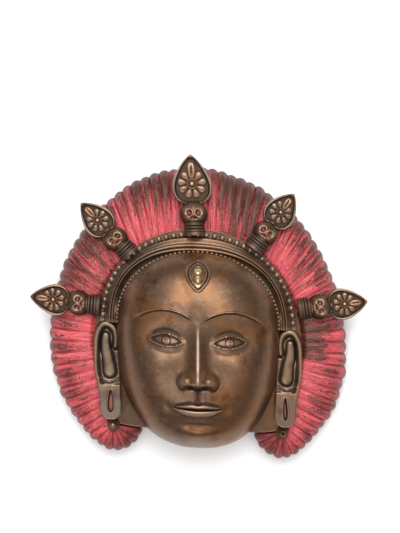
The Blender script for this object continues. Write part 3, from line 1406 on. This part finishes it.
def paint_material(context):
    """Red paint on the pleats, worn through in streaks to dull bronze."""
    tone = palette(context)
    material, n, shader = new_material("worn paint")
    pleat, out, hollow = n.mark("across"), n.mark("along"), n.mark("hollow")
    where = n.add("TexCoord").outputs["Object"]

    def streaks(across, along, detail):
        joined = n.add("CombineXYZ")
        n.feed(joined.inputs["X"], n.times(pleat, across))
        n.feed(joined.inputs["Y"], n.times(out, along))
        return n.grain(joined.outputs["Vector"], 1.0, detail, 0.6, 0.3)

    long_streaks = streaks(1.3, 1.1, 2.0)
    short_streaks = streaks(6.0, 3.6, 4.0)
    hair_lines = streaks(13.0, 2.6, 3.0)
    specks = n.grain(where, 520.0, 3.0, 0.6)
    crest = n.math("ABSOLUTE", n.math("SINE", n.times(pleat, math.pi)))
    groove = n.times(n.ramp(crest, 0.05, 0.66, 1.0, 0.0), n.ramp(out, 0.0, 0.6, 0.5, 1.0))
    gone = n.plus(n.mark("wear"), n.times(n.minus(crest, 0.6), 0.38))
    for streak, strength in ((long_streaks, 1.0), (short_streaks, 1.6), (hair_lines, 2.2), (specks, 1.0)):
        gone = n.plus(gone, n.times(n.minus(streak, 0.5), strength))
    bare = n.ramp(gone, 0.46, 0.64)
    edge = n.ramp(out, 0.90, 0.985, 0.0, 0.85)
    bare = n.most(bare, n.times(edge, n.ramp(short_streaks, 0.30, 0.55, 0.4, 1.0)))
    bare = n.most(bare, n.minus(1.0, n.mark("paint")))
    deep = n.most(n.ramp(hollow, 0.10, 0.90, 0.0, 0.85), n.times(groove, 0.82))
    red = n.blend(n.ramp(short_streaks, 0.38, 0.66), tone.paint, tone.paint_pale)
    red = n.blend(n.ramp(hair_lines, 0.52, 0.40, 0.0, 0.55), red, tone.paint_deep)
    shade = n.times(n.ramp(long_streaks, 0.40, 0.62), n.ramp(out, 0.25, 0.80, 0.15, 0.55))
    red = n.blend(shade, red, tone.paint_deep)
    red = n.blend(deep, red, tone.paint_deep)
    curl = n.ramp(n.math("ABSOLUTE", pleat), PLEATS_SIDE_END - 2.0, PLEATS_SIDE_END + 4.0, 0.0, 0.55)
    red = n.blend(curl, red, tone.paint_deep)
    metal = n.blend(n.ramp(hair_lines, 0.46, 0.62, 0.0, 0.9), tone.bare_hair, tone.bronze)
    metal = n.blend(n.times(deep, 0.6), metal, tone.bronze_dark)
    stained = n.ramp(short_streaks, 0.46, 0.62, 0.0, 0.65)
    stained = n.most(stained, n.times(groove, 0.35))
    metal = n.blend(stained, metal, tone.paint_deep)
    n.feed(shader.inputs["Base Color"], n.blend(bare, red, metal))
    n.feed(shader.inputs["Metallic"], n.times(bare, 0.45))
    n.feed(shader.inputs["Roughness"], n.ramp(bare, 0.0, 1.0, 0.58, 0.46))
    texture = n.plus(n.times(bare, -0.5), n.times(hair_lines, 1.2), n.times(specks, 0.3))
    n.feed(shader.inputs["Normal"], n.bump(texture, 0.0005, 0.5))
    return material


# Studio

def aimed(spot, target):
    """A place and turn that looks from one spot at another."""
    spot = Vector(spot)
    turn = (Vector(target) - spot).to_track_quat("-Z", "Y")
    return Matrix.Translation(spot) @ turn.to_matrix().to_4x4()


class MASK_OT_studio(Operator):
    """Makes the pale floor, the two soft lights, the sky of the studio and the camera"""

    bl_idname = "mask.studio"
    bl_label = "Studio"

    def execute(self, context):
        sizes = values(context.scene.mask_studio)
        tone = palette(context)
        scene = context.scene

        bm = bmesh.new()
        bmesh.ops.create_grid(bm, x_segments=1, y_segments=1, size=4.0)
        bmesh.ops.translate(bm, vec=(0, 0, -TUCK), verts=bm.verts)
        mesh = bpy.data.meshes.new("floor")
        bm.to_mesh(mesh)
        bm.free()
        material, n, shader = new_material("pale floor")
        n.feed(shader.inputs["Base Color"], tone.floor)
        shader.inputs["Roughness"].default_value = 0.9
        mesh.materials.append(material)
        floor = new_object(context, "floor", mesh)

        for name, spot, power, size in (
            ("key_light", (0.02, 0.76, 1.15), 1.15, 1.10),
            ("fill_light", (-0.30, -0.75, 1.20), 0.26, 0.90),
        ):
            light = bpy.data.lights.new(name, "AREA")
            light.shape = "SQUARE"
            light.size = size
            light.energy = sizes.light_power * power
            new_object(context, name, light).matrix_world = aimed(spot, (0, 0, 0))

        world = bpy.data.worlds.new("studio")
        world.use_nodes = True
        scene.world = world
        n = Nodes(world.node_tree)
        background = world.node_tree.nodes["Background"]
        direction = n.add("TexCoord").outputs["Generated"]
        apart = n.add("SeparateXYZ")
        n.feed(apart.inputs[0], direction)
        n.feed(background.inputs["Strength"], n.ramp(apart.outputs["Z"], 0.10, 0.95, 0.12, 0.96))
        background.inputs["Color"].default_value = (1.0, 1.0, 1.0, 1.0)

        camera = bpy.data.cameras.new("camera")
        camera.lens = sizes.lens
        camera.sensor_width = 36.0
        camera.clip_end = 20.0
        view = new_object(context, "camera", camera)
        view.location = (MIDDLE.x + 0.0019, sizes.camera_up, sizes.camera_height)
        scene.camera = view
        scene.view_settings.view_transform = "Standard"
        return {"FINISHED"}


class MASK_PT_panel(Panel):
    """Lists the pieces of the mask and their sizes"""

    bl_idname = "MASK_PT_panel"
    bl_label = "Ritual mask"
    bl_space_type = "VIEW_3D"
    bl_region_type = "UI"
    bl_category = "Mask"

    def draw(self, context):
        layout = self.layout
        for group in GROUPS:
            box = layout.box()
            box.label(text=group)
            settings = getattr(context.scene, group)
            for key in settings.__annotations__:
                box.prop(settings, key)
        for operator in OPERATORS:
            layout.operator(operator.bl_idname)


GROUPS = {
    "mask_face": FaceSizes,
    "mask_hair": HairSizes,
    "mask_band": BandSizes,
    "mask_crown": CrownSizes,
    "mask_ears": EarSizes,
    "mask_finishes": Finishes,
    "mask_studio": StudioSizes,
}
OPERATORS = (
    MASK_OT_studio, MASK_OT_neck, MASK_OT_face, MASK_OT_hair, MASK_OT_band, MASK_OT_crown,
    MASK_OT_ears,
)


def register():
    for item in (*GROUPS.values(), *OPERATORS, MASK_PT_panel):
        bpy.utils.register_class(item)
    for name, group in GROUPS.items():
        setattr(bpy.types.Scene, name, PointerProperty(type=group))


def unregister():
    for name in GROUPS:
        delattr(bpy.types.Scene, name)
    for item in reversed((*GROUPS.values(), *OPERATORS, MASK_PT_panel)):
        bpy.utils.unregister_class(item)


def main():
    register()
    for operator in (
        bpy.ops.mask.studio, bpy.ops.mask.neck, bpy.ops.mask.face, bpy.ops.mask.hair,
        bpy.ops.mask.band, bpy.ops.mask.crown, bpy.ops.mask.ears,
    ):
        operator()


if __name__ == "__main__":
    main()
